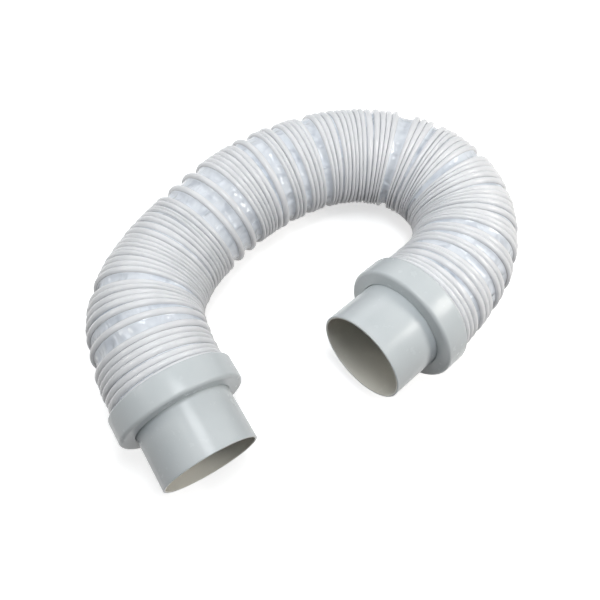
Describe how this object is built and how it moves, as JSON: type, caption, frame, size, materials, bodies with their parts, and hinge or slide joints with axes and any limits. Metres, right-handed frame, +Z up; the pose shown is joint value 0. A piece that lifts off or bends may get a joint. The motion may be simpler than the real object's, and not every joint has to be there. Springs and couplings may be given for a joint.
{
  "type": "flexible air duct",
  "caption": "Flexible ventilation hose of glossy film on a helical bead, lying in an open loop, with a collared plug-in tube at each end to carry air between round ports.",
  "frame": {"origin": "on the floor, under the middle of the box around the part as it lies", "axes": "+Z up from the floor; +X to the right and +Y away, as the picture looks at the loop, with its opening towards -Y and both plug-in ends on the -Y side"},
  "size_m": [0.4614, 0.4558, 0.1337],
  "materials": {
    "film": "glossy thin film, slightly creased, cool white",
    "bead": "semi-gloss plastic-coated wire, warm white",
    "fitting": "glossy moulded plastic, off-white",
    "seal": "matt soft rubber"
  },
  "bodies": {
    "end_a": {"film_sleeve_01": "film", "helix_bead_01_1": "bead", "helix_bead_01_2": "bead", "helix_bead_01_3": "bead", "helix_bead_01_4": "bead", "spigot_a": "fitting", "hose_cuff_a": "fitting", "collar_a": "fitting", "seal_ring_a": "seal"},
    "run_02": {"film_sleeve_02": "film", "helix_bead_02_1": "bead", "helix_bead_02_2": "bead", "helix_bead_02_3": "bead"},
    "run_03": {"film_sleeve_03": "film", "helix_bead_03_1": "bead", "helix_bead_03_2": "bead", "helix_bead_03_3": "bead", "helix_bead_03_4": "bead", "helix_bead_03_5": "bead", "helix_bead_03_6": "bead"},
    "run_04": {"film_sleeve_04": "film", "helix_bead_04_1": "bead"},
    "run_05": {"film_sleeve_05": "film", "helix_bead_05_1": "bead", "helix_bead_05_2": "bead", "helix_bead_05_3": "bead"},
    "run_06": {"film_sleeve_06": "film", "helix_bead_06_1": "bead", "helix_bead_06_2": "bead", "helix_bead_06_3": "bead"},
    "run_07": {"film_sleeve_07": "film", "helix_bead_07_1": "bead", "helix_bead_07_2": "bead", "helix_bead_07_3": "bead", "helix_bead_07_4": "bead", "helix_bead_07_5": "bead", "helix_bead_07_6": "bead"},
    "run_08": {"film_sleeve_08": "film", "helix_bead_08_1": "bead", "helix_bead_08_2": "bead", "helix_bead_08_3": "bead", "helix_bead_08_4": "bead"},
    "run_09": {"film_sleeve_09": "film", "helix_bead_09_1": "bead", "helix_bead_09_2": "bead", "helix_bead_09_3": "bead", "helix_bead_09_4": "bead", "helix_bead_09_5": "bead"},
    "run_10": {"film_sleeve_10": "film", "helix_bead_10_1": "bead", "helix_bead_10_2": "bead"},
    "end_b": {"film_sleeve_11": "film", "helix_bead_11_1": "bead", "helix_bead_11_2": "bead", "helix_bead_11_3": "bead", "helix_bead_11_4": "bead", "spigot_b": "fitting", "hose_cuff_b": "fitting", "collar_b": "fitting", "seal_ring_b": "seal"}
  },
  "joints": [
    {"name": "lift_a", "type": "hinge", "parent": "run_02", "child": "end_a", "pos_m": [-0.15827, -0.09121, 0.06729], "axis": [-0.9114, -0.4115, 0], "range_deg": [0, 10], "deforming": ["film_sleeve_01", "film_sleeve_02"]},
    {"name": "bend_1", "type": "hinge", "parent": "run_03", "child": "run_02", "pos_m": [-0.17073, -0.03874, 0.06234], "axis": [0, 0, -1], "range_deg": [-2.5, 5.5], "deforming": ["film_sleeve_02", "film_sleeve_03"]},
    {"name": "bend_2", "type": "hinge", "parent": "run_04", "child": "run_03", "pos_m": [-0.12535, 0.05959, 0.05639], "axis": [0, 0, -1], "range_deg": [-6, 14], "deforming": ["film_sleeve_03", "film_sleeve_04"]},
    {"name": "stretch", "type": "slide", "parent": "run_05", "child": "run_04", "axis": [-0.6711, -0.7414, -0.0049], "range_m": [-0.007, 0.035], "deforming": ["film_sleeve_04", "film_sleeve_05"]},
    {"name": "bend_3", "type": "hinge", "parent": "run_06", "child": "run_05", "pos_m": [-0.05448, 0.13022, 0.05668], "axis": [0, 0, -1], "range_deg": [-5, 14], "deforming": ["film_sleeve_05", "film_sleeve_06"]},
    {"name": "bend_4", "type": "hinge", "parent": "run_07", "child": "run_06", "pos_m": [-0.00035, 0.16021, 0.05555], "axis": [0, 0, -1], "range_deg": [-4, 15], "deforming": ["film_sleeve_06", "film_sleeve_07"]},
    {"name": "bend_5", "type": "hinge", "parent": "run_07", "child": "run_08", "pos_m": [0.09853, 0.1671, 0.05599], "axis": [0, 0, 1], "range_deg": [-5, 20], "deforming": ["film_sleeve_07", "film_sleeve_08"]},
    {"name": "bend_6", "type": "hinge", "parent": "run_08", "child": "run_09", "pos_m": [0.15578, 0.12815, 0.05724], "axis": [0, 0, 1], "range_deg": [-2, 12], "deforming": ["film_sleeve_08", "film_sleeve_09"]},
    {"name": "bend_7", "type": "hinge", "parent": "run_09", "child": "run_10", "pos_m": [0.16708, 0.0398, 0.05944], "axis": [0, 0, 1], "range_deg": [-3, 15], "deforming": ["film_sleeve_09", "film_sleeve_10"]},
    {"name": "lift_b", "type": "hinge", "parent": "run_10", "child": "end_b", "pos_m": [0.14689, 0.00549, 0.06234], "axis": [-0.7852, 0.6192, 0], "range_deg": [0, 9], "deforming": ["film_sleeve_10", "film_sleeve_11"]}
  ]
}
